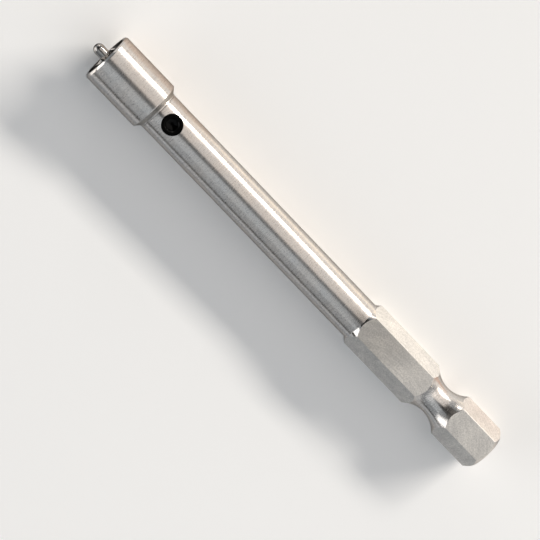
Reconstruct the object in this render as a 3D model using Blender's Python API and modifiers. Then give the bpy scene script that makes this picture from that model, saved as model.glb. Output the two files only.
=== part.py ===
"""Nut setter with a spring-loaded ejector pin, on a quarter-inch hex power shank.

The tool is modelled standing on its shank, along the +Z of its own frame, with the retaining screw
towards +Y. The frame empty lays it along world +X, screw up, with the origin at the centre of the
shank's end face. All sizes are in metres.
"""

import math

import bmesh
import bpy
from mathutils import Matrix, Vector

# Hex power shank, turned and grooved
OVERALL_LENGTH = 0.0762  # shank end to socket rim
HEX_ACROSS_FLATS = 0.00635
HEX_CORNER_BREAK = 0.00006  # taken off each corner, on the radius
HEX_LENGTH = 0.0256  # shank end to the foot of the front cone
HEX_FRONT_CONE = 0.0007
END_CHAMFER = 0.0006
GROOVE_CENTRE = 0.0101  # from the shank end
GROOVE_RADIUS = 0.0044
GROOVE_DEPTH = 0.0008  # below the flats

# Round shaft and the spigot that carries the socket
SHAFT_DIAMETER = 0.0061
SPIGOT_SHOULDER = 0.00055
SPIGOT_CHAMFER = 0.00015

# Socket sleeve
NUT_ACROSS_FLATS = 0.0055
NUT_CLEARANCE = 0.0001  # across flats
SOCKET_WALL = 0.00062  # outside the hexagon's corners
SOCKET_LENGTH = 0.01035
SOCKET_DEPTH = 0.0057
SOCKET_CLOCKING = math.radians(11.0)  # of the hexagon against the shank's flats
LEAD_IN_OVERLAP = 0.00003  # mouth of the lead-in cone outside the hexagon's corners
LEAD_IN_ANGLE = math.radians(45.0)
RIM_BEVEL_WIDTH = 0.00036
RIM_BEVEL_LENGTH = 0.0006
REAR_CHAMFER_ANGLE = math.radians(45.0)
SEAM_STEP = 0.00005  # foot of the rear chamfer above the shaft

# Ejector pin, its bore and its spring
BORE_DIAMETER = 0.0024
DRILL_POINT_ANGLE = math.radians(118.0)
PIN_DIAMETER = 0.0016
PIN_PROTRUSION = 0.0019
PIN_HEAD_LENGTH = 0.004
PIN_HEAD_CHAMFER = 0.0002
PIN_PILOT_LENGTH = 0.0015
SPRING_WIRE = 0.0003
SPRING_COILS = 14
SPRING_RESERVE = 0.0009  # travel left before the coils close

# Retaining screw
SCREW_DIAMETER = 0.003
SCREW_SETBACK = 0.00245  # screw axis behind the socket's rear face
SCREW_SINK = 0.00005  # top below the edge of its hole, beside the shaft's crown
SCREW_CHAMFER = 0.0002
SCREW_BODY_MARGIN = 0.0002  # full diameter ends this far outside the bore
SCREW_DOG_DIAMETER = 0.0018
SCREW_KEY_ACROSS_FLATS = 0.0015
SCREW_FLOOR = 0.0008  # material under the key recess

# Clearances
PRESS_GAP = 0.00003
SEAT_GAP = 0.00005
SLIDE_GAP = 0.00005
THREAD_GAP = 0.00003
DOG_GAP = 0.0001
SPRING_GAP = 0.00015

# Facets
TURNED_STEPS = 48
SMALL_STEPS = 24
GROOVE_STEPS = 8
DOME_STEPS = 5
COIL_POINTS = 10
CUT_MARGIN = 0.001
MERGE_DISTANCE = 1e-6
SHARP_ANGLE = math.radians(30.0)

# Sizes that follow from those above
HEX_FLAT_RADIUS = HEX_ACROSS_FLATS / 2
HEX_CORNER_RADIUS = HEX_FLAT_RADIUS / math.cos(math.pi / 6) - HEX_CORNER_BREAK
GROOVE_MIN_RADIUS = HEX_FLAT_RADIUS - GROOVE_DEPTH
SHAFT_RADIUS = SHAFT_DIAMETER / 2
SPIGOT_RADIUS = SHAFT_RADIUS - SPIGOT_SHOULDER
SOCKET_ACROSS_FLATS = NUT_ACROSS_FLATS + NUT_CLEARANCE
SOCKET_CORNER_RADIUS = SOCKET_ACROSS_FLATS / 2 / math.cos(math.pi / 6)
SOCKET_RADIUS = SOCKET_CORNER_RADIUS + SOCKET_WALL
SOCKET_REAR = OVERALL_LENGTH - SOCKET_LENGTH
SOCKET_FLOOR = OVERALL_LENGTH - SOCKET_DEPTH
BORE_RADIUS = BORE_DIAMETER / 2
PIN_RADIUS = PIN_DIAMETER / 2
SCREW_RADIUS = SCREW_DIAMETER / 2
SCREW_HOLE_RADIUS = SCREW_RADIUS + THREAD_GAP
SCREW_STATION = SOCKET_REAR - SCREW_SETBACK
PIN_TRAVEL = PIN_PROTRUSION + SOCKET_DEPTH
PIN_TIP = OVERALL_LENGTH + PIN_PROTRUSION
PIN_STOP_FACE = SCREW_STATION - SCREW_DOG_DIAMETER / 2 - SEAT_GAP
PIN_HEAD_REAR = PIN_STOP_FACE - PIN_HEAD_LENGTH
SPRING_PITCH = SPRING_WIRE + (PIN_TRAVEL + SPRING_RESERVE) / SPRING_COILS
SPRING_LENGTH = SPRING_COILS * SPRING_PITCH + SPRING_WIRE
SPRING_RADIUS = BORE_RADIUS - SPRING_GAP - SPRING_WIRE / 2
PIN_PILOT_RADIUS = SPRING_RADIUS - SPRING_WIRE / 2 - SPRING_GAP
SPRING_SEAT = PIN_HEAD_REAR - SEAT_GAP - SPRING_LENGTH
BORE_BOTTOM = SPRING_SEAT - SEAT_GAP


def clear_scene():
    for obj in list(bpy.data.objects):
        bpy.data.objects.remove(obj, do_unlink=True)


def make_collection(name):
    collection = bpy.data.collections.new(name)
    bpy.context.scene.collection.children.link(collection)
    return collection


def make_material(name, colour, roughness, metallic):
    material = bpy.data.materials.new(name)
    material.use_nodes = True
    shader = material.node_tree.nodes["Principled BSDF"]
    shader.inputs["Base Color"].default_value = (*colour, 1.0)
    shader.inputs["Roughness"].default_value = roughness
    shader.inputs["Metallic"].default_value = metallic
    return material


def add_object(name, mesh, collection, parent, location=(0, 0, 0), rotation=(0, 0, 0)):
    obj = bpy.data.objects.new(name, mesh)
    collection.objects.link(obj)
    obj.parent = parent
    obj.location = location
    obj.rotation_euler = rotation
    return obj


def turned(name, profile, steps, collection, parent, closed=False, **place):
    """A shape turned about local Z from (radius, height) points that run down its outer side."""
    mesh = bpy.data.meshes.new(name)
    points = [(radius, 0.0, height) for radius, height in profile]
    edges = [(i, i + 1) for i in range(len(points) - 1)]
    if closed:
        edges.append((len(points) - 1, 0))
    mesh.from_pydata(points, edges, [])
    obj = add_object(name, mesh, collection, parent, **place)
    screw = obj.modifiers.new("Turn", "SCREW")
    screw.axis = "Z"
    screw.angle = math.tau
    screw.steps = steps
    screw.render_steps = steps
    screw.use_merge_vertices = True
    screw.merge_threshold = MERGE_DISTANCE
    return obj


def hex_bar(name, across_flats, bottom, top, collection, parent, turn=0.0, **place):
    """A hexagonal prism along local Z with flats towards +Y and -Y, turned about Z by an angle."""
    mesh = bpy.data.meshes.new(name)
    corner_radius = across_flats / 2 / math.cos(math.pi / 6)
    shape = bmesh.new()
    bmesh.ops.create_cone(
        shape,
        cap_ends=True,
        segments=6,
        radius1=corner_radius,
        radius2=corner_radius,
        depth=top - bottom,
        matrix=Matrix.Translation((0, 0, (top + bottom) / 2))
        @ Matrix.Rotation(turn + math.pi / 6, 4, "Z"),
    )
    shape.to_mesh(mesh)
    shape.free()
    return add_object(name, mesh, collection, parent, **place)


def drill(name, radius, shoulder, top, steps, collection, parent, **place):
    """The space that a twist drill clears: full radius down to its shoulder, then its point."""
    point = shoulder - radius / math.tan(DRILL_POINT_ANGLE / 2)
    profile = [(0, top), (radius, top), (radius, shoulder), (0, point)]
    return turned(name, profile, steps, collection, parent, **place)


def cut(obj, cutter):
    boolean = obj.modifiers.new("Cut " + cutter.name, "BOOLEAN")
    boolean.operation = "DIFFERENCE"
    boolean.solver = "EXACT"
    boolean.object = cutter
    cutter.hide_render = True
    cutter.display_type = "WIRE"


def finish(obj, material):
    """Make the modifiers' result the object's own mesh, shaded smooth between its sharp edges."""
    depsgraph = bpy.context.evaluated_depsgraph_get()
    mesh = bpy.data.meshes.new_from_object(obj.evaluated_get(depsgraph))
    obj.modifiers.clear()
    obj.data = mesh
    mesh.name = obj.name
    mesh.materials.clear()
    mesh.materials.append(material)
    mesh.shade_smooth()
    mesh.set_sharp_from_angle(angle=SHARP_ANGLE)


def groove_profile():
    """The detent groove's arc, from its upper corner down to its lower one."""
    arc_centre = GROOVE_MIN_RADIUS + GROOVE_RADIUS
    half_angle = math.acos((arc_centre - HEX_CORNER_RADIUS) / GROOVE_RADIUS)
    points = []
    for i in range(GROOVE_STEPS + 1):
        angle = half_angle * (1 - 2 * i / GROOVE_STEPS)
        radius = arc_centre - GROOVE_RADIUS * math.cos(angle)
        points.append((radius, GROOVE_CENTRE + GROOVE_RADIUS * math.sin(angle)))
    return points


def make_drive_shank(parts, cutters, frame, material):
    """Hex shank, round shaft and spigot in one bar, bored for the ejector and drilled for its screw."""
    spigot_top = SOCKET_FLOOR - SEAT_GAP
    shoulder = SOCKET_REAR - SEAT_GAP
    profile = [
        (0, spigot_top),
        (SPIGOT_RADIUS - SPIGOT_CHAMFER, spigot_top),
        (SPIGOT_RADIUS, spigot_top - SPIGOT_CHAMFER),
        (SPIGOT_RADIUS, shoulder),
        (SHAFT_RADIUS, shoulder),
        (SHAFT_RADIUS, HEX_LENGTH),
        (HEX_CORNER_RADIUS, HEX_LENGTH - HEX_FRONT_CONE),
        *groove_profile(),
        (HEX_CORNER_RADIUS, END_CHAMFER),
        (HEX_CORNER_RADIUS - END_CHAMFER, 0),
        (0, 0),
    ]
    shank = turned("drive_shank", profile, TURNED_STEPS, parts, frame)

    collar_radius = HEX_CORNER_RADIUS + 2 * CUT_MARGIN
    collar_profile = [
        (0, HEX_LENGTH),
        (collar_radius, HEX_LENGTH),
        (collar_radius, -CUT_MARGIN),
        (0, -CUT_MARGIN),
    ]
    collar = turned("flats_collar", collar_profile, TURNED_STEPS, cutters, frame)
    hole_ends = (-2 * CUT_MARGIN, HEX_LENGTH + CUT_MARGIN)
    cut(collar, hex_bar("flats_hole", HEX_ACROSS_FLATS, *hole_ends, cutters, frame))
    cut(shank, collar)

    bore_top = spigot_top + CUT_MARGIN
    cut(shank, drill("ejector_bore", BORE_RADIUS, BORE_BOTTOM, bore_top, SMALL_STEPS, cutters, frame))
    hole_top = SHAFT_RADIUS + CUT_MARGIN
    screw_place = {"location": (0, 0, SCREW_STATION), "rotation": (-math.pi / 2, 0, 0)}
    screw_hole = drill(
        "screw_hole", SCREW_HOLE_RADIUS, BORE_RADIUS, hole_top, SMALL_STEPS, cutters, frame, **screw_place
    )
    cut(shank, screw_hole)
    finish(shank, material)


def make_socket_sleeve(parts, cutters, frame, material):
    """The socket: a sleeve pressed on the spigot, with a hexagon and its lead-in cone in the front."""
    bore_radius = SPIGOT_RADIUS + PRESS_GAP
    chamfer_foot = SHAFT_RADIUS + SEAM_STEP
    chamfer_length = (SOCKET_RADIUS - chamfer_foot) / math.tan(REAR_CHAMFER_ANGLE)
    rim_radius = SOCKET_RADIUS - RIM_BEVEL_WIDTH
    profile = [
        (bore_radius, SOCKET_LENGTH),
        (rim_radius, SOCKET_LENGTH),
        (SOCKET_RADIUS, SOCKET_LENGTH - RIM_BEVEL_LENGTH),
        (SOCKET_RADIUS, chamfer_length),
        (chamfer_foot, 0),
        (bore_radius, 0),
    ]
    place = {"location": (0, 0, SOCKET_REAR)}
    sleeve = turned("socket_sleeve", profile, TURNED_STEPS, parts, frame, closed=True, **place)

    floor = SOCKET_LENGTH - SOCKET_DEPTH
    hexagon_top = SOCKET_LENGTH + CUT_MARGIN
    hexagon = hex_bar(
        "socket_hexagon", SOCKET_ACROSS_FLATS, floor, hexagon_top, cutters, frame, SOCKET_CLOCKING, **place
    )
    cut(sleeve, hexagon)

    mouth_radius = SOCKET_CORNER_RADIUS + LEAD_IN_OVERLAP
    slope = math.tan(LEAD_IN_ANGLE)
    lead_in_profile = [
        (0, SOCKET_LENGTH + CUT_MARGIN),
        (mouth_radius + CUT_MARGIN * slope, SOCKET_LENGTH + CUT_MARGIN),
        (0, SOCKET_LENGTH - mouth_radius / slope),
    ]
    cut(sleeve, turned("lead_in_cone", lead_in_profile, TURNED_STEPS, cutters, frame, **place))
    finish(sleeve, material)


def make_ejector_pin(parts, frame, material):
    """Domed pin with a guide head that stops against the screw, and a pilot stub for the spring."""
    head_radius = BORE_RADIUS - SLIDE_GAP
    nose = PIN_TIP - PIN_STOP_FACE
    dome = []
    for i in range(DOME_STEPS + 1):
        angle = math.pi / 2 * i / DOME_STEPS
        dome.append((PIN_RADIUS * math.sin(angle), nose - PIN_RADIUS * (1 - math.cos(angle))))
    profile = [
        *dome,
        (PIN_RADIUS, 0),
        (head_radius, 0),
        (head_radius, PIN_HEAD_CHAMFER - PIN_HEAD_LENGTH),
        (head_radius - PIN_HEAD_CHAMFER, -PIN_HEAD_LENGTH),
        (PIN_PILOT_RADIUS, -PIN_HEAD_LENGTH),
        (PIN_PILOT_RADIUS, -PIN_HEAD_LENGTH - PIN_PILOT_LENGTH),
        (0, -PIN_HEAD_LENGTH - PIN_PILOT_LENGTH),
    ]
    place = {"location": (0, 0, PIN_STOP_FACE)}
    pin = turned("ejector_pin", profile, SMALL_STEPS, parts, frame, **place)
    finish(pin, material)


def spring_points():
    """Middle of the spring's wire, from its seat upwards."""
    points = []
    for i in range(SPRING_COILS * COIL_POINTS + 1):
        turns = i / COIL_POINTS
        angle = math.tau * turns
        height = SPRING_WIRE / 2 + turns * SPRING_PITCH
        points.append(Vector((SPRING_RADIUS * math.cos(angle), SPRING_RADIUS * math.sin(angle), height)))
    return points


def least_coil_gap(points):
    """Least distance between the wire's surfaces on points at least half a turn apart."""
    reach = COIL_POINTS // 2
    least = math.inf
    for i, point in enumerate(points):
        for other in points[i + reach : i + 2 * COIL_POINTS]:
            least = min(least, (point - other).length - SPRING_WIRE)
    return least


def make_ejector_spring(parts, frame, material):
    """Compression spring between the bottom of the bore and the pin's head."""
    points = spring_points()
    curve = bpy.data.curves.new("ejector_spring_wire", "CURVE")
    curve.dimensions = "3D"
    curve.bevel_depth = SPRING_WIRE / 2
    curve.bevel_resolution = 1
    curve.use_fill_caps = True
    spline = curve.splines.new("POLY")
    spline.points.add(len(points) - 1)
    for spline_point, point in zip(spline.points, points):
        spline_point.co = (*point, 1.0)
    wire = add_object("ejector_spring_wire", curve, parts, frame, location=(0, 0, SPRING_SEAT))

    depsgraph = bpy.context.evaluated_depsgraph_get()
    mesh = bpy.data.meshes.new_from_object(wire.evaluated_get(depsgraph))
    shape = bmesh.new()
    shape.from_mesh(mesh)
    bmesh.ops.remove_doubles(shape, verts=shape.verts, dist=MERGE_DISTANCE)
    shape.to_mesh(mesh)
    shape.free()
    bpy.data.objects.remove(wire, do_unlink=True)
    spring = add_object("ejector_spring", mesh, parts, frame, location=(0, 0, SPRING_SEAT))
    finish(spring, material)
    print(f"ejector_spring: least gap between its coils {least_coil_gap(points) * 1000:.2f} mm")


def make_retaining_screw(parts, cutters, frame, material):
    """Dog-point set screw whose point stands in the bore in front of the pin's head."""
    hole_edge = math.sqrt(SHAFT_RADIUS**2 - SCREW_HOLE_RADIUS**2)
    top = hole_edge - SCREW_SINK
    body_bottom = BORE_RADIUS + SCREW_BODY_MARGIN
    tip = PIN_RADIUS + DOG_GAP
    dog_radius = SCREW_DOG_DIAMETER / 2
    profile = [
        (0, top),
        (SCREW_RADIUS - SCREW_CHAMFER, top),
        (SCREW_RADIUS, top - SCREW_CHAMFER),
        (SCREW_RADIUS, body_bottom),
        (dog_radius, body_bottom),
        (dog_radius, tip),
        (0, tip),
    ]
    place = {"location": (0, 0, SCREW_STATION), "rotation": (-math.pi / 2, 0, 0)}
    screw = turned("retaining_screw", profile, SMALL_STEPS, parts, frame, **place)
    key_ends = (tip + SCREW_FLOOR, top + CUT_MARGIN)
    cut(screw, hex_bar("screw_key", SCREW_KEY_ACROSS_FLATS, *key_ends, cutters, frame, **place))
    finish(screw, material)


def main():
    clear_scene()
    parts = make_collection("nut_setter")
    cutters = make_collection("cutters")
    frame = add_object("tool_frame", None, parts, None, rotation=(math.pi / 2, 0, math.pi / 2))
    bpy.context.view_layer.update()

    ground_steel = make_material("ground_steel", (0.53, 0.51, 0.48), 0.32, 1.0)
    turned_steel = make_material("turned_steel", (0.58, 0.56, 0.54), 0.28, 1.0)
    polished_steel = make_material("polished_steel", (0.70, 0.69, 0.67), 0.12, 1.0)
    spring_steel = make_material("spring_steel", (0.40, 0.39, 0.38), 0.3, 1.0)
    black_oxide = make_material("black_oxide", (0.015, 0.015, 0.017), 0.35, 0.6)

    make_drive_shank(parts, cutters, frame, ground_steel)
    make_socket_sleeve(parts, cutters, frame, turned_steel)
    make_ejector_pin(parts, frame, polished_steel)
    make_ejector_spring(parts, frame, spring_steel)
    make_retaining_screw(parts, cutters, frame, black_oxide)


main()
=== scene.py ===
"""Looks of the nut setter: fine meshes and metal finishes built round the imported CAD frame.

The tool lies along +X with its socket at the far end and its retaining screw up (+Z). Lengths
are in metres. Angles round the tool's axis start at +Y and run towards +Z.
"""

import math

import bmesh
import bpy
from mathutils import Matrix, Vector


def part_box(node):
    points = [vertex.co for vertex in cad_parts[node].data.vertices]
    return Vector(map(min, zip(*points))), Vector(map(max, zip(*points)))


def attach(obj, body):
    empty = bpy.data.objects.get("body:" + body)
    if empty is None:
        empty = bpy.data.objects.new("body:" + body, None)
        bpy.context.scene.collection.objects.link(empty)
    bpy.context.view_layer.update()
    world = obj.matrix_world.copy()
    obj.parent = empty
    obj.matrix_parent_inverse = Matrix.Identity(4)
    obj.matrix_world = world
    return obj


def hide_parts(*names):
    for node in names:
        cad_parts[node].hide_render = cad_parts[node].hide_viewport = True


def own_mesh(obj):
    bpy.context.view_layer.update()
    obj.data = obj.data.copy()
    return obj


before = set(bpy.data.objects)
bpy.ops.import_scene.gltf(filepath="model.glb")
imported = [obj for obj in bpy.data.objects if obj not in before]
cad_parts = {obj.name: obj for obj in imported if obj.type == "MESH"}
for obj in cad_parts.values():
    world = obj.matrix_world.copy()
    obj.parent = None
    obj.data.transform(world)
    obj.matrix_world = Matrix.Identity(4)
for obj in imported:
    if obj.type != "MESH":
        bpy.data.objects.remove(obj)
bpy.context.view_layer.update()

MM = 0.001

# Sizes read from the frame
shank_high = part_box("drive_shank")[1]
sleeve_low, sleeve_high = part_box("socket_sleeve")
pin_low, pin_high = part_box("ejector_pin")
spring_low, spring_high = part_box("ejector_spring")
screw_low, screw_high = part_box("retaining_screw")

HEX_FLAT = shank_high.z
HEX_CORNER = shank_high.y
SPIGOT_END = shank_high.x
SOCKET_RADIUS = sleeve_high.y
SOCKET_REAR = sleeve_low.x
SOCKET_RIM = sleeve_high.x
PIN_TIP = pin_high.x
PIN_REAR = pin_low.x
PIN_HEAD_RADIUS = pin_high.y
SPRING_SEAT = spring_low.x
SPRING_FRONT = spring_high.x
SCREW_STATION = (screw_low.x + screw_high.x) / 2
SCREW_RADIUS = (screw_high.x - screw_low.x) / 2
SCREW_TOP = screw_high.z
SCREW_TIP = screw_low.z

# Drive shank
END_CHAMFER = 0.6 * MM
GROOVE_CENTRE = 10.1 * MM
GROOVE_ARC = 4.4 * MM
GROOVE_FLOOR = HEX_FLAT - 0.8 * MM
HEX_FRONT = 25.6 * MM
CONE_LENGTH = 0.7 * MM
SHAFT_RADIUS = 3.05 * MM
SHOULDER_GAP = 0.05 * MM
SPIGOT_RADIUS = 2.5 * MM
SPIGOT_CHAMFER = 0.15 * MM
BORE_RADIUS = 1.2 * MM
BORE_BOTTOM = SPRING_SEAT - 0.05 * MM
DRILL_POINT = math.radians(118.0)
SCREW_HOLE_RADIUS = SCREW_RADIUS + 0.03 * MM
LAND_EXTRA = 0.05 * MM  # leaves a narrower land on the hex corners than the frame has
LAND_BLEND = 0.012 * MM  # softens the edge between a flat and the land on its corner

# Socket sleeve
SLEEVE_BORE = SPIGOT_RADIUS + 0.03 * MM
NUT_FLAT = 2.8 * MM
NUT_CORNER = NUT_FLAT / math.cos(math.pi / 6)
NUT_TURN = math.radians(11.0)
SOCKET_FLOOR = SPIGOT_END + 0.05 * MM
MOUTH_RADIUS = NUT_CORNER + 0.03 * MM
RIM_FRONT = SOCKET_RIM - 0.18 * MM
RIM_BEVEL_WIDTH = 0.21 * MM
RIM_BEVEL_LENGTH = 0.3 * MM
FOOT_RADIUS = SHAFT_RADIUS + 0.05 * MM
FOOT_LENGTH = 0.2 * MM
REAR_SLOPE = math.radians(49.0)
REAR_ROUND = 0.2 * MM
REAR_CORNER = SOCKET_REAR + FOOT_LENGTH + (SOCKET_RADIUS - FOOT_RADIUS) / math.tan(REAR_SLOPE)

# Ejector pin and spring
PIN_RADIUS = 0.8 * MM
PIN_STOP = 62.45 * MM
PIN_HEAD_REAR = SPRING_FRONT + 0.05 * MM
PIN_HEAD_CHAMFER = 0.2 * MM
PILOT_RADIUS = 0.6 * MM
WIRE_RADIUS = 0.15 * MM
SPRING_RADIUS = 0.9 * MM
SPRING_COILS = 14

# Retaining screw
SCREW_CHAMFER = 0.07 * MM
SCREW_BODY_BOTTOM = BORE_RADIUS + 0.2 * MM
DOG_RADIUS = 0.9 * MM
THREAD_PITCH = 0.5 * MM
THREAD_DEPTH = 0.2 * MM
THREAD_FADE = 6  # the higher, the closer to its ends the thread has its full depth
KEY_FLAT = 0.75 * MM
KEY_MOUTH = KEY_FLAT / math.cos(math.pi / 6) + 0.12 * MM
KEY_FLOOR = SCREW_TIP + 0.8 * MM
KEY_POINT = KEY_FLOOR - 0.3 * KEY_FLAT

# Rounded edges
FINE_EDGE = 0.03 * MM
EDGE = 0.06 * MM
SOFT_EDGE = 0.1 * MM
EDGE_STEPS = 3
EDGE_SHARE = 0.45  # most of a side that one round may take

# Mesh fineness
SECTOR = math.pi / 3
SECTOR_STEPS = 20
ROUND_STEPS = 96
GROOVE_STEPS = 24
DOME_STEPS = 16
HOLE_MARGIN = 0.4 * MM
HOLE_ROW = 0.12 * MM
THREAD_ROWS = 28
COIL_STEPS = 32
WIRE_STEPS = 12
SHARP_ANGLE = math.radians(38.0)
MERGE = 1e-8

# Finishes, in the order of the shank's and the sleeve's material slots
# DARK paints shade into the hollows: the socket's walls, the bores and the screw hole
GROUND, TURNED, POLISHED, DULL, DARK, BURNISHED = range(6)

# Colours of the metals, with two tints for each body colour
BRIGHT = ((0.745, 0.69, 0.64), (0.70, 0.67, 0.64))
MATTE = ((0.705, 0.68, 0.645), (0.635, 0.615, 0.59))
TARNISHED = ((0.50, 0.47, 0.44), (0.44, 0.42, 0.39))
# painted shade: the pin's steel is painted darker than the body's, for the dark socket that it
# mirrors
PIN_SHADE_TONES = ((0.46, 0.43, 0.40), (0.42, 0.40, 0.38))
# painted shade: steel inside the socket, bore and screw hole is painted darker than outside, for the
# shade in these hollows
HOLLOW_SHADE_TONES = ((0.17, 0.16, 0.15), (0.11, 0.105, 0.1))
BLACKENED = ((0.001, 0.001, 0.001), (0.004, 0.004, 0.004))
WORN_STEEL = (0.80, 0.79, 0.77)
WORN_OXIDE = (0.3, 0.29, 0.28)

# Marks in the finishes
NOISE_SPAN = (0.3, 0.7)  # values between which nearly all of a noise lies
NOISE_CORE = (0.35, 0.65)  # values between which most of it lies
CLOUDS_PER_MM = 0.35
SPECK_TONE = (0.80, 1.14)
SPECK_ROUGHNESS = 0.01
LINE_TONE = (0.9, 1.1)
GRIND_CENTRE = (17.0, 14.0, 9.0)  # middle of the grinding arcs, in millimetres
DRIFT = 0.12  # share of the place across the tool by which tool marks wander
QUARTER_TURN = 0.25
WEAR_MATCH = (0.985, 0.86)  # match of true and rounded normal where wear starts and is full
WEAR_SAMPLES = 6
WEAR_PATCHES_PER_MM = 2.2
WEAR_PATCH_SPAN = (0.35, 0.6)
WEAR_LEAST = 0.35
WEAR_POLISH = 0.06
STEEL_WEAR = 0.14 * MM
OXIDE_WEAR = 0.06 * MM
OXIDE_WEAR_SHARE = 0.01
OXIDE_SPECKS_PER_MM = 9.0
OXIDE_GRAIN = 1.5e-6
OXIDE_ROUGHNESS = (0.10, 0.17)
OXIDE_GLOSS = 0.12

# Floor
FLOOR_SIZE = 6.0
FLOOR_COLOUR = (0.97, 0.97, 0.97)
FLOOR_GLOSS = 0.1
MATT_ROUGHNESS = 0.9
SIDEWAYS = Vector((0, 1, 0))
TOUCH_REAR = Vector((END_CHAMFER, 0, -HEX_FLAT))
TOUCH_FRONT = Vector((REAR_CORNER, 0, -SOCKET_RADIUS))
FLOOR_ALONG = (TOUCH_FRONT - TOUCH_REAR).normalized()
FLOOR_UP = FLOOR_ALONG.cross(SIDEWAYS)

# Light
WORLD_COLOUR = (0.27, 0.29, 0.31)
WHITE = (1.0, 1.0, 1.0)
BLACK_CARD = (0.01, 0.01, 0.01)
TOOL_CENTRE = Vector((SOCKET_RIM / 2, 0, 0))
LAMP_DISTANCE = 1.5
MAT_LIFT = 0.1 * MM

# Camera
CAMERA_PLACE = Vector((109.4, 7.09, 402.32)) * MM
CAMERA_AIM = Vector((39.36, 4.05, 0.0)) * MM
CAMERA_UP = Vector((0.70964, -0.69456, -0.11828))
CAMERA_LENS = 198.86
CAMERA_SENSOR = 36.0
CAMERA_CLIP = 0.01


def sector_angles(turn):
    """Angles round the axis, close together at the corners of a hexagon with a flat at turn."""
    angles = []
    for side in range(6):
        for step in range(SECTOR_STEPS):
            share = 2 * step / SECTOR_STEPS - 1
            angles.append(turn + side * SECTOR + SECTOR / 2 * math.sin(math.pi / 2 * share))
    return angles


def round_angles():
    return [math.tau * step / ROUND_STEPS for step in range(ROUND_STEPS)]


def hex_radius(angle, flat, turn):
    """Distance from the axis to the side of a hexagon at an angle."""
    offset = (angle - turn + SECTOR / 2) % SECTOR - SECTOR / 2
    return flat / math.cos(offset)


def soft_min(a, b, blend):
    overlap = max(blend - abs(a - b), 0.0) / blend
    return min(a, b) - overlap * overlap * blend / 4


def fillet(before, corner, after, radius):
    """Points of the round that takes the place of a corner, as many for any radius."""
    back = before - corner
    ahead = after - corner
    turn = math.pi - back.angle(ahead)
    reach = min(radius * math.tan(turn / 2), EDGE_SHARE * back.length, EDGE_SHARE * ahead.length)
    start = corner + back.normalized() * reach
    end = corner + ahead.normalized() * reach
    points = []
    for step in range(EDGE_STEPS + 1):
        share = step / EDGE_STEPS
        points.append(start * (1 - share) ** 2 + corner * 2 * share * (1 - share) + end * share**2)
    return points


def rounded(corners, closed):
    """One column's (point, finish) rows from its (along, radius, round, finish) corners."""
    rows = []
    for i, (along, radius, size, finish) in enumerate(corners):
        point = Vector((along, radius))
        if size == 0:
            rows.append((point, finish))
            continue
        before = Vector(corners[i - 1][:2])
        after = Vector(corners[(i + 1) % len(corners)][:2])
        rows.extend((p, finish) for p in fillet(before, point, after, size))
    if closed:
        rows.append(rows[0])
    return rows


def along_x(along, radius, angle):
    return Vector((along, radius * math.cos(angle), radius * math.sin(angle)))


def along_screw(along, radius, angle):
    return Vector((SCREW_STATION + radius * math.cos(angle), radius * math.sin(angle), along))


def new_object(name, mesh):
    obj = bpy.data.objects.new(name, mesh)
    bpy.context.scene.collection.objects.link(obj)
    return obj


def turned(name, angles, column, place, materials, closed=False):
    """A mesh of columns along an axis, one at each angle, each row of faces in its own finish."""
    shape = bmesh.new()
    grid = []
    finishes = []
    for angle in angles:
        rows = rounded(column(angle), closed)
        grid.append([shape.verts.new(place(point.x, point.y, angle)) for point, finish in rows])
        finishes.append([finish for point, finish in rows])
    for j, verts in enumerate(grid):
        following = grid[(j + 1) % len(grid)]
        for i in range(len(verts) - 1):
            face = shape.faces.new((verts[i], following[i], following[i + 1], verts[i + 1]))
            face.material_index = finishes[j][i]
    bmesh.ops.remove_doubles(shape, verts=shape.verts, dist=MERGE)
    bmesh.ops.dissolve_degenerate(shape, edges=shape.edges, dist=MERGE)
    bmesh.ops.recalc_face_normals(shape, faces=shape.faces)
    mesh = bpy.data.meshes.new(name)
    shape.to_mesh(mesh)
    shape.free()
    for material in materials:
        mesh.materials.append(material)
    return new_object(name, mesh)


def smooth(obj):
    """Smooth shading between sharp edges, with the wide faces kept flat."""
    obj.data.shade_smooth()
    obj.data.set_sharp_from_angle(angle=SHARP_ANGLE)
    weighted = obj.modifiers.new("Flat faces", "WEIGHTED_NORMAL")
    weighted.keep_sharp = True


def cut_away(obj, cutter):
    """Take the cutter's space out of the object and remove the cutter."""
    boolean = obj.modifiers.new("Cut", "BOOLEAN")
    boolean.operation = "DIFFERENCE"
    boolean.solver = "EXACT"
    boolean.material_mode = "TRANSFER"
    boolean.object = cutter
    depsgraph = bpy.context.evaluated_depsgraph_get()
    mesh = bpy.data.meshes.new_from_object(obj.evaluated_get(depsgraph))
    obj.modifiers.clear()
    obj.data = mesh
    bpy.data.objects.remove(cutter, do_unlink=True)


def opaque(colour):
    return (*colour, 1.0)


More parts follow.
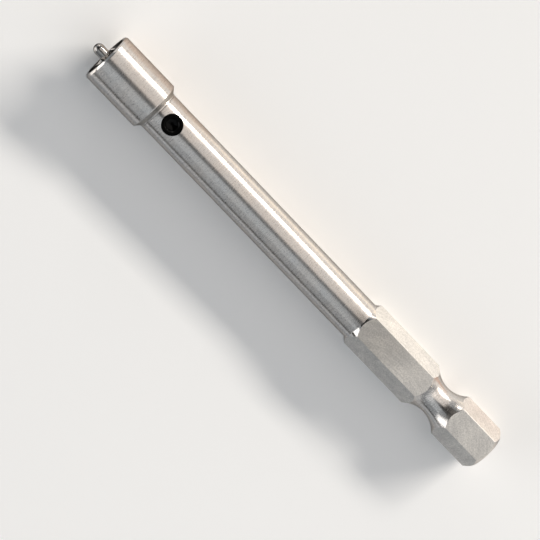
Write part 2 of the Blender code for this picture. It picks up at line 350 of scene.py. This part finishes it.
class Graph:
    """A material's nodes, with a short way to add one and join its inputs."""

    def __init__(self, name):
        self.material = bpy.data.materials.new(name)
        self.material.use_nodes = True
        self.tree = self.material.node_tree
        self.shader = self.tree.nodes["Principled BSDF"]

    def add(self, kind, inputs, **settings):
        node = self.tree.nodes.new(kind)
        for key, value in settings.items():
            setattr(node, key, value)
        for key, value in inputs.items():
            self.put(node.inputs[key], value)
        return node

    def put(self, socket, value):
        if isinstance(value, bpy.types.NodeSocket):
            self.tree.links.new(value, socket)
        else:
            socket.default_value = value

    def math(self, operation, a, b=0.0, clamp=False):
        node = self.add("ShaderNodeMath", {0: a, 1: b}, operation=operation, use_clamp=clamp)
        return node.outputs[0]

    def vector(self, operation, a, b):
        return self.add("ShaderNodeVectorMath", {0: a, 1: b}, operation=operation).outputs[0]

    def length(self, a):
        return self.add("ShaderNodeVectorMath", {0: a}, operation="LENGTH").outputs["Value"]

    def dot(self, a, b):
        inputs = {0: a, 1: b}
        return self.add("ShaderNodeVectorMath", inputs, operation="DOT_PRODUCT").outputs["Value"]

    def noise(self, place, scale, detail=3.0, roughness=0.55):
        inputs = {"Vector": place, "Scale": scale, "Detail": detail, "Roughness": roughness}
        return self.add("ShaderNodeTexNoise", inputs).outputs[0]

    def span(self, value, low, high, to_low, to_high):
        names = ("Value", "From Min", "From Max", "To Min", "To Max")
        inputs = dict(zip(names, (value, low, high, to_low, to_high)))
        return self.add("ShaderNodeMapRange", inputs).outputs[0]

    def blend(self, share, a, b):
        node = self.add("ShaderNodeMix", {}, data_type="RGBA")
        self.put(node.inputs["Factor"], share)
        self.put(node.inputs[6], a)
        self.put(node.inputs[7], b)
        return node.outputs[2]

    def bump(self, height, depth, under=None):
        """The normal of a pattern with a real depth, laid over the normal under it."""
        node = self.add("ShaderNodeBump", {"Height": height, "Distance": depth, "Strength": 1.0})
        if under is not None:
            self.put(node.inputs["Normal"], under)
        return node.outputs[0]


def millimetres(graph):
    """Place on the object in millimetres."""
    place = graph.add("ShaderNodeTexCoord", {}).outputs["Object"]
    return graph.vector("MULTIPLY", place, (1 / MM, 1 / MM, 1 / MM))


def lathe_place(graph, place):
    """Place on a turned surface: along the axis, away from it, and a slow drift round it."""
    parts = graph.add("ShaderNodeSeparateXYZ", {"Vector": place}).outputs
    across = graph.add("ShaderNodeCombineXYZ", {"Y": parts["Y"], "Z": parts["Z"]}).outputs[0]
    drift = graph.math("MULTIPLY", graph.math("SUBTRACT", parts["Y"], parts["Z"]), DRIFT)
    inputs = {"X": parts["X"], "Y": graph.length(across), "Z": drift}
    return graph.add("ShaderNodeCombineXYZ", inputs).outputs[0]


def ground_place(graph, place):
    """Place on a ground flat: the wide arcs that the side of a grinding wheel leaves."""
    away = graph.vector("SUBTRACT", place, GRIND_CENTRE)
    arc = graph.add("ShaderNodeCombineXYZ", {"X": graph.length(away)}).outputs[0]
    drift = graph.vector("MULTIPLY", place, (0.0, DRIFT, DRIFT))
    return graph.vector("ADD", drift, arc)


def edge_wear(graph, place, reach):
    """1 along worn edges, broken up by noise, and 0 away from them."""
    wide = graph.add("ShaderNodeBevel", {"Radius": reach}, samples=WEAR_SAMPLES).outputs[0]
    normal = graph.add("ShaderNodeNewGeometry", {}).outputs["Normal"]
    edge = graph.span(graph.dot(wide, normal), *WEAR_MATCH, 0.0, 1.0)
    patch = graph.noise(place, WEAR_PATCHES_PER_MM, detail=2.0)
    share = graph.span(patch, *WEAR_PATCH_SPAN, WEAR_LEAST, 1.0)
    return graph.math("MULTIPLY", edge, share, clamp=True)


def steel(name, tints, roughness, marks, grain, wear, tooling=lathe_place, grazing=0.4, streak=0.0):
    """Bare steel: two tints, a (low, high) roughness, tool marks, grain and worn edges.

    marks and grain are (scale per mm, depth in metres), and wear is the share of the edges' wear
    that shows. Seen edge on, the steel dims to the grazing share. Fine turning rings draw its
    highlights out along the axis by the streak share.
    """
    graph = Graph(name)
    shader = graph.shader
    shader.inputs["Metallic"].default_value = 1.0
    shader.inputs["Specular Tint"].default_value = (grazing, grazing, grazing, 1.0)
    shader.inputs["Anisotropic"].default_value = streak
    shader.inputs["Anisotropic Rotation"].default_value = QUARTER_TURN
    rings = graph.add("ShaderNodeTangent", {}, direction_type="RADIAL", axis="X")
    graph.put(shader.inputs["Tangent"], rings.outputs[0])
    place = millimetres(graph)
    line = graph.noise(tooling(graph, place), marks[0], detail=4.0, roughness=0.65)
    speck = graph.noise(place, grain[0], roughness=0.6)
    cloud = graph.noise(place, CLOUDS_PER_MM)

    worn = edge_wear(graph, place, STEEL_WEAR)
    clouded = graph.span(cloud, *NOISE_CORE, 0.0, 1.0)
    body = graph.blend(clouded, opaque(tints[0]), opaque(tints[1]))
    specks = graph.span(speck, *NOISE_SPAN, *SPECK_TONE)
    lines = graph.span(line, *NOISE_SPAN, *LINE_TONE)
    toned = graph.add("ShaderNodeVectorMath", {0: body}, operation="SCALE")
    graph.put(toned.inputs["Scale"], graph.math("MULTIPLY", specks, lines))
    bare = graph.math("MULTIPLY", worn, wear)
    colour = graph.blend(bare, toned.outputs[0], opaque(WORN_STEEL))
    graph.put(shader.inputs["Base Color"], colour)

    rough = graph.span(line, *NOISE_SPAN, *roughness)
    uneven = graph.span(speck, *NOISE_CORE, -SPECK_ROUGHNESS, SPECK_ROUGHNESS)
    rough = graph.math("ADD", rough, uneven)
    smoother = graph.math("MULTIPLY", worn, -WEAR_POLISH * wear)
    graph.put(shader.inputs["Roughness"], graph.math("ADD", rough, smoother, clamp=True))

    normal = graph.bump(speck, grain[1], under=graph.bump(line, marks[1]))
    graph.put(shader.inputs["Normal"], normal)
    return graph.material


def black_oxide(name):
    """Blackened screw steel: near black, a little glossy, with rubbed edges."""
    graph = Graph(name)
    shader = graph.shader
    place = millimetres(graph)
    speck = graph.noise(place, OXIDE_SPECKS_PER_MM, detail=4.0)
    worn = edge_wear(graph, place, OXIDE_WEAR)
    tone = graph.blend(speck, opaque(BLACKENED[0]), opaque(BLACKENED[1]))
    rubbed = graph.math("MULTIPLY", worn, OXIDE_WEAR_SHARE)
    graph.put(shader.inputs["Base Color"], graph.blend(rubbed, tone, opaque(WORN_OXIDE)))
    graph.put(shader.inputs["Roughness"], graph.span(speck, *NOISE_SPAN, *OXIDE_ROUGHNESS))
    shader.inputs["Specular IOR Level"].default_value = OXIDE_GLOSS
    graph.put(shader.inputs["Normal"], graph.bump(speck, OXIDE_GRAIN))
    return graph.material


def shank_column(angle):
    """Rear end, hex with its groove, cone, shaft, spigot and bore, at one angle."""
    side = hex_radius(angle, HEX_FLAT, SECTOR / 2)
    radius = soft_min(side, HEX_CORNER + LAND_EXTRA, LAND_BLEND)
    end_radius = HEX_CORNER - END_CHAMFER
    arc_centre = GROOVE_FLOOR + GROOVE_ARC
    half_angle = math.acos((arc_centre - radius) / GROOVE_ARC)
    slope = CONE_LENGTH / (HEX_CORNER - SHAFT_RADIUS)
    cone_start = HEX_FRONT - (radius - SHAFT_RADIUS) * slope
    shoulder = SOCKET_REAR - SHOULDER_GAP
    corners = [
        (0.0, 0.0, 0, TURNED),
        (0.0, end_radius, EDGE, POLISHED),
        (radius - end_radius, radius, FINE_EDGE, GROUND),
    ]
    for step in range(GROOVE_STEPS + 1):
        turn = half_angle * (2 * step / GROOVE_STEPS - 1)
        at_edge = step in (0, GROOVE_STEPS)
        corners.append((
            GROOVE_CENTRE + GROOVE_ARC * math.sin(turn),
            arc_centre - GROOVE_ARC * math.cos(turn),
            FINE_EDGE if at_edge else 0,
            GROUND if step == GROOVE_STEPS else BURNISHED,
        ))
    corners += [
        (cone_start, radius, FINE_EDGE, POLISHED),
        (HEX_FRONT, SHAFT_RADIUS, SOFT_EDGE, TURNED),
    ]
    reach = SCREW_HOLE_RADIUS + HOLE_MARGIN
    count = math.ceil(2 * reach / HOLE_ROW)
    for row in range(count + 1):
        corners.append((SCREW_STATION - reach + 2 * reach * row / count, SHAFT_RADIUS, 0, TURNED))
    corners += [
        (shoulder, SHAFT_RADIUS, FINE_EDGE, TURNED),
        (shoulder, SPIGOT_RADIUS, 0, TURNED),
        (SPIGOT_END - SPIGOT_CHAMFER, SPIGOT_RADIUS, FINE_EDGE, TURNED),
        (SPIGOT_END, SPIGOT_RADIUS - SPIGOT_CHAMFER, FINE_EDGE, DULL),
        (SPIGOT_END, BORE_RADIUS, FINE_EDGE, DARK),
        (BORE_BOTTOM, BORE_RADIUS, 0, DARK),
        (BORE_BOTTOM - BORE_RADIUS / math.tan(DRILL_POINT / 2), 0.0, 0, DARK),
    ]
    return corners


def screw_hole_column(angle):
    above = SHAFT_RADIUS + HOLE_MARGIN
    point = BORE_RADIUS - SCREW_HOLE_RADIUS / math.tan(DRILL_POINT / 2)
    return [
        (above, 0.0, 0, DARK),
        (above, SCREW_HOLE_RADIUS, 0, DARK),
        (BORE_RADIUS, SCREW_HOLE_RADIUS, 0, DARK),
        (point, 0.0, 0, DARK),
    ]


def sleeve_column(angle):
    """Foot, rear chamfer, outside, rim, lead-in cone, hexagon, floor and bore, at one angle."""
    side = hex_radius(angle, NUT_FLAT, SECTOR / 2 + NUT_TURN)
    return [
        (SOCKET_REAR, SLEEVE_BORE, 0, TURNED),
        (SOCKET_REAR, FOOT_RADIUS, FINE_EDGE, TURNED),
        (SOCKET_REAR + FOOT_LENGTH, FOOT_RADIUS, SOFT_EDGE, DULL),
        (REAR_CORNER, SOCKET_RADIUS, REAR_ROUND, TURNED),
        (RIM_FRONT - RIM_BEVEL_LENGTH, SOCKET_RADIUS, FINE_EDGE, POLISHED),
        (RIM_FRONT, SOCKET_RADIUS - RIM_BEVEL_WIDTH, EDGE, TURNED),
        (RIM_FRONT, MOUTH_RADIUS, FINE_EDGE, POLISHED),
        (RIM_FRONT - MOUTH_RADIUS + side, side, FINE_EDGE, DARK),
        (SOCKET_FLOOR, side, 0, DULL),
        (SOCKET_FLOOR, SLEEVE_BORE, FINE_EDGE, DARK),
    ]


def pin_column(angle):
    """Pilot, guide head, stem and domed tip."""
    corners = [
        (PIN_REAR, 0.0, 0, 0),
        (PIN_REAR, PILOT_RADIUS, EDGE, 0),
        (PIN_HEAD_REAR, PILOT_RADIUS, FINE_EDGE, 0),
        (PIN_HEAD_REAR, PIN_HEAD_RADIUS - PIN_HEAD_CHAMFER, FINE_EDGE, 0),
        (PIN_HEAD_REAR + PIN_HEAD_CHAMFER, PIN_HEAD_RADIUS, FINE_EDGE, 0),
        (PIN_STOP, PIN_HEAD_RADIUS, EDGE, 0),
        (PIN_STOP, PIN_RADIUS, FINE_EDGE, 0),
    ]
    dome_foot = PIN_TIP - PIN_RADIUS
    for step in range(DOME_STEPS + 1):
        turn = math.pi / 2 * step / DOME_STEPS
        corners.append((dome_foot + PIN_RADIUS * math.sin(turn), PIN_RADIUS * math.cos(turn), 0, 0))
    return corners


def screw_column(angle):
    """Dog point, threaded body, chamfered top and hexagonal key recess."""
    side = hex_radius(angle, KEY_FLAT, 0.0)
    thread_top = SCREW_TOP - SCREW_CHAMFER
    corners = [
        (SCREW_TIP, 0.0, 0, 0),
        (SCREW_TIP, DOG_RADIUS, EDGE, 0),
        (SCREW_BODY_BOTTOM, DOG_RADIUS, FINE_EDGE, 0),
    ]
    for row in range(THREAD_ROWS + 1):
        share = row / THREAD_ROWS
        height = SCREW_BODY_BOTTOM + (thread_top - SCREW_BODY_BOTTOM) * share
        wave = abs(2 * ((height / THREAD_PITCH - angle / math.tau) % 1) - 1)
        fade = min(1.0, THREAD_FADE * share * (1 - share))
        corners.append((height, SCREW_RADIUS - THREAD_DEPTH * wave * fade, 0, 0))
    corners += [
        (SCREW_TOP, SCREW_RADIUS - SCREW_CHAMFER, EDGE, 0),
        (SCREW_TOP, KEY_MOUTH, FINE_EDGE, 0),
        (SCREW_TOP - KEY_MOUTH + side, side, FINE_EDGE, 0),
        (KEY_FLOOR, side, 0, 0),
        (KEY_POINT, 0.0, 0, 0),
    ]
    return corners


def make_spring(material):
    """Round wire wound between the bottom of the bore and the pin's head."""
    shape = bmesh.new()
    rings = []
    count = SPRING_COILS * COIL_STEPS
    rise = SPRING_FRONT - SPRING_SEAT - 2 * WIRE_RADIUS
    for step in range(count + 1):
        angle = math.tau * step / COIL_STEPS
        middle = along_x(SPRING_SEAT + WIRE_RADIUS + rise * step / count, SPRING_RADIUS, angle)
        outward = Vector((0, math.cos(angle), math.sin(angle)))
        pitch = rise / SPRING_COILS / (math.tau * SPRING_RADIUS)
        forward = Vector((pitch, -math.sin(angle), math.cos(angle))).normalized()
        upward = forward.cross(outward)
        ring = []
        for point in range(WIRE_STEPS):
            turn = math.tau * point / WIRE_STEPS
            offset = outward * math.cos(turn) + upward * math.sin(turn)
            ring.append(shape.verts.new(middle + offset * WIRE_RADIUS))
        rings.append(ring)
    for ring, following in zip(rings, rings[1:]):
        for i in range(WIRE_STEPS):
            k = (i + 1) % WIRE_STEPS
            shape.faces.new((ring[i], ring[k], following[k], following[i]))
    shape.faces.new(rings[0])
    shape.faces.new(rings[-1])
    bmesh.ops.recalc_face_normals(shape, faces=shape.faces)
    mesh = bpy.data.meshes.new("spring_wire")
    shape.to_mesh(mesh)
    shape.free()
    mesh.materials.append(material)
    return new_object("spring_wire", mesh)


def stands_for(piece, node, body):
    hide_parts(node)
    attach(piece, body)


def make_finishes():
    """The steels of the shank and the sleeve, in the order of their slots."""
    ground = steel(
        "ground_flats", MATTE, (0.56, 0.64), (4.5, 1e-6), (5.0, 7e-6), 0.2, ground_place, grazing=1.0
    )
    fine = steel("turned_body", BRIGHT, (0.26, 0.32), (9.0, 0.6e-6), (6.0, 0.8e-6), 0.6, streak=0.8)
    shiny = steel("polished_turning", BRIGHT, (0.09, 0.13), (5.0, 0.5e-6), (5.0, 0.3e-6), 0.4)
    chamfer = steel("dull_chamfer", TARNISHED, (0.24, 0.34), (6.0, 1.5e-6), (6.0, 2e-6), 0.3)
    inside = steel("shaded_bore", HOLLOW_SHADE_TONES, (0.38, 0.5), (3.0, 2e-6), (6.0, 4e-6), 0.2)
    groove = steel(
        "burnished_groove", BRIGHT, (0.22, 0.27), (5.0, 0.5e-6), (5.0, 0.5e-6), 0.4, streak=0.5
    )
    return [ground, fine, shiny, chamfer, inside, groove]


def make_pieces():
    """Build the five pieces; each hides the frame's node that it stands for and is parented to its
    body.
    """
    finishes = make_finishes()
    # the pin's darker tints are painted shade, for the dark socket round it
    pin_steel = steel("polished_pin", PIN_SHADE_TONES, (0.09, 0.13), (5.0, 0.5e-6), (5.0, 0.3e-6), 0.3)
    oxide = black_oxide("black_oxide")

    shank = turned("shank_bar", sector_angles(SECTOR / 2), shank_column, along_x, finishes)
    hole = turned("screw_hole", round_angles(), screw_hole_column, along_screw, finishes)
    cut_away(shank, hole)
    nut_angles = sector_angles(SECTOR / 2 + NUT_TURN)
    sleeve = turned("socket", nut_angles, sleeve_column, along_x, finishes, closed=True)
    pin = turned("pin", round_angles(), pin_column, along_x, [pin_steel])
    screw = turned("screw", sector_angles(0.0), screw_column, along_screw, [oxide])
    spring = make_spring(finishes[TURNED])
    for piece in (shank, sleeve, pin, screw, spring):
        smooth(piece)

    stands_for(shank, "drive_shank", "tool_body")
    stands_for(sleeve, "socket_sleeve", "tool_body")
    stands_for(pin, "ejector_pin", "ejector")
    stands_for(screw, "retaining_screw", "tool_body")
    stands_for(spring, "ejector_spring", "tool_body")
    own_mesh(spring)


def make_floor():
    """Plain pale floor under the socket's rear corner and the shank's end."""
    middle = (TOUCH_REAR + TOUCH_FRONT) / 2
    half = FLOOR_SIZE / 2
    corners = []
    for along, across in ((-half, -half), (half, -half), (half, half), (-half, half)):
        corners.append(middle + FLOOR_ALONG * along + SIDEWAYS * across)
    mesh = bpy.data.meshes.new("floor")
    mesh.from_pydata(corners, [], [(0, 1, 2, 3)])
    graph = Graph("pale_floor")
    graph.shader.inputs["Base Color"].default_value = opaque(FLOOR_COLOUR)
    graph.shader.inputs["Roughness"].default_value = MATT_ROUGHNESS
    graph.shader.inputs["Specular IOR Level"].default_value = FLOOR_GLOSS
    mesh.materials.append(graph.material)
    new_object("floor", mesh)


def around(degrees, lean=0.0):
    """Direction away from the tool, in degrees from straight up towards +Y, leaning towards +X."""
    angle = math.radians(degrees)
    tilt = math.radians(lean)
    across = math.cos(tilt)
    return Vector((math.sin(tilt), across * math.sin(angle), across * math.cos(angle)))


def facing(direction, distance=LAMP_DISTANCE):
    """Place of a flat thing that faces the tool from a direction, its length along the tool."""
    back = Vector(direction).normalized()
    along = Vector((1, 0, 0))
    side = (along - back * along.dot(back)).normalized()
    turn = Matrix((side, back.cross(side), back)).transposed().to_4x4()
    return Matrix.Translation(TOOL_CENTRE + back * distance) @ turn


def beside(along, across, lift=MAT_LIFT):
    """Place of a flat thing that lies over the floor, its face up and its length along the tool."""
    middle = TOUCH_REAR + FLOOR_ALONG * along + SIDEWAYS * across + FLOOR_UP * lift
    turn = Matrix((FLOOR_ALONG, -SIDEWAYS, -FLOOR_UP)).transposed().to_4x4()
    return Matrix.Translation(middle) @ turn


def softbox(name, place, length, width, level, colour):
    """A rectangular lamp whose face shines at a level where 1 is white."""
    lamp = bpy.data.lights.new(name, "AREA")
    lamp.shape = "RECTANGLE"
    lamp.size = length
    lamp.size_y = width
    lamp.energy = level * math.pi * length * width
    lamp.color = colour
    obj = new_object(name, lamp)
    obj.matrix_world = place
    obj.visible_camera = False


def card(name, place, length, width, tone=BLACK_CARD, shades=False):
    """A matt card for the metal to mirror, out of the camera's sight. It shades only when asked."""
    mesh = bpy.data.meshes.new(name)
    x, y = length / 2, width / 2
    mesh.from_pydata([(-x, -y, 0), (x, -y, 0), (x, y, 0), (-x, y, 0)], [], [(0, 1, 2, 3)])
    graph = Graph(name)
    graph.shader.inputs["Base Color"].default_value = opaque(tone)
    graph.shader.inputs["Roughness"].default_value = MATT_ROUGHNESS
    mesh.materials.append(graph.material)
    obj = new_object(name, mesh)
    obj.matrix_world = place
    obj.visible_camera = False
    obj.visible_diffuse = shades
    obj.visible_shadow = shades


def make_world():
    """Dim, slightly cool light from all sides."""
    world = bpy.data.worlds.new("studio")
    world.use_nodes = True
    background = world.node_tree.nodes["Background"]
    background.inputs["Color"].default_value = opaque(WORLD_COLOUR)
    background.inputs["Strength"].default_value = 1.0
    bpy.context.scene.world = world


def make_lamps():
    """Soft boxes round the tool, then two glowing mats beside it: length, width, level, colour."""
    softbox("key", facing(around(-65.5, -20), 2.5), 1.43, 0.27, 52.0, (1.0, 0.94, 0.86))
    softbox("front_spot", facing((0.68, -0.70, 0.21)), 0.2, 0.2, 8.0, (1.0, 0.94, 0.87))
    softbox("warm_side", facing(around(-28, -20)), 2.0, 1.34, 0.64, (1.0, 0.90, 0.81))
    softbox("cool_side", facing(around(30, -20)), 2.0, 1.0, 0.25, (0.90, 0.96, 1.0))
    softbox("rear_top", facing(around(0, -52)), 1.0, 1.4, 0.3, WHITE)
    softbox("left_panel", facing((0.695, 0.671, 0.259)), 1.5, 0.9, 1.7, WHITE)
    softbox("right_card", facing(around(-86)), 2.0, 0.35, 0.6, (1.0, 0.86, 0.74))
    softbox("low_right", facing((0.76, -0.63, 0.15)), 0.9, 0.5, 0.6, (1.0, 0.95, 0.9))
    softbox("warm_mat", beside(0.036, -0.026), 0.042, 0.028, 0.55, (1.0, 0.82, 0.58))
    softbox("front_mat", beside(0.1, 0.027), 0.04, 0.05, 0.6, WHITE)


def make_cards():
    """Two flags that shade the tool, then cards that it only mirrors, some painting shadow, shade or
    warm reflection: length, width, tone.
    """
    card("overhead_flag", facing(around(3, 27), 0.336), 0.48, 0.127, shades=True)
    card("front_flag", facing(around(-15, 36), 1.2), 1.17, 0.87, shades=True)
    card("left_flag", facing(around(88.5), 0.062), 0.2, 0.0135)
    # painted shadow: a grey mat that only the metal sees, standing in for the tool's shadow on the
    # floor to its left
    card("painted_floor_shadow", beside(0.01, 0.045), 0.136, 0.07, (0.57, 0.61, 0.66))
    # painted shade: a dark card that only the metal sees, darkening the front of the hex's top flat
    card("hex_shade_card", beside(0.0195, 0.0, 0.015), 0.0075, 0.014, (0.15, 0.15, 0.15))
    # painted shadow: a black mat that only the metal sees, where the socket's shadow would fall in
    # front of the rim
    card("painted_rim_shadow", beside(0.0905, -0.0005), 0.029, 0.007)
    # painted reflection: peach mats that only the metal sees, warming its right side near both ends
    # like warmly lit floor
    card("rear_warm_reflection", beside(0.0005, -0.0215), 0.009, 0.031, (0.90, 0.64, 0.52))
    card("front_warm_reflection", beside(0.069, -0.02), 0.024, 0.03, (0.92, 0.80, 0.72))


def make_camera():
    data = bpy.data.cameras.new("camera")
    data.lens = CAMERA_LENS
    data.sensor_width = CAMERA_SENSOR
    data.clip_start = CAMERA_CLIP
    back = (CAMERA_PLACE - CAMERA_AIM).normalized()
    right = CAMERA_UP.cross(back).normalized()
    turn = Matrix((right, back.cross(right), back)).transposed().to_4x4()
    camera = new_object("camera", data)
    camera.matrix_world = Matrix.Translation(CAMERA_PLACE) @ turn
    bpy.context.scene.camera = camera


make_pieces()
make_floor()
make_world()
make_lamps()
make_cards()
make_camera()
bpy.context.scene.view_settings.view_transform = "Standard"
